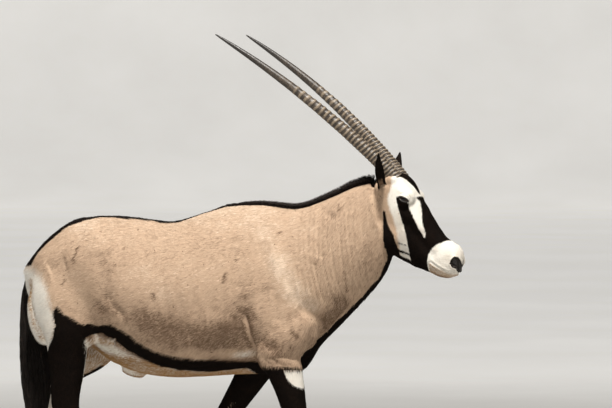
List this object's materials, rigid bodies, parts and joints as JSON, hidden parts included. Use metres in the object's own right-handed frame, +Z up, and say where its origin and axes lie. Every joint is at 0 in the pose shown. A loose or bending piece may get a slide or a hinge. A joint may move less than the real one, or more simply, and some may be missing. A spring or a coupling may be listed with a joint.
{
  "type": "antelope model",
  "caption": "Life-size standing gemsbok bull in mid-stride, with long ringed horns swept back, a short mane, a dark flank stripe and a tufted tail.",
  "frame": {"origin": "on the floor, under the middle of the animal's overall box", "axes": "+X the way the animal faces, +Y its left side, +Z up"},
  "size_m": [1.6889, 0.4459, 1.786],
  "materials": {
    "fawn_coat": "short matte hair, greyish fawn",
    "dark_coat": "long black hair",
    "pale_coat": "short white hair with dark marks",
    "horn": "ringed keratin, slightly polished",
    "eye": "wet gloss"
  },
  "bodies": {
    "root": {"ear_left": "fawn_coat", "ear_right": "fawn_coat", "eye_left": "eye", "eye_right": "eye", "head": "pale_coat", "hoof_left_fore_inner": "horn", "hoof_left_fore_outer": "horn", "hoof_left_hind_inner": "horn", "hoof_left_hind_outer": "horn", "hoof_right_fore_inner": "horn", "hoof_right_fore_outer": "horn", "hoof_right_hind_inner": "horn", "hoof_right_hind_outer": "horn", "horn_left": "horn", "horn_right": "horn", "leg_left_fore": "fawn_coat", "leg_left_hind": "fawn_coat", "leg_right_fore": "fawn_coat", "leg_right_hind": "fawn_coat", "neck": "fawn_coat", "tail": "dark_coat", "trunk": "fawn_coat"}
  },
  "joints": []
}
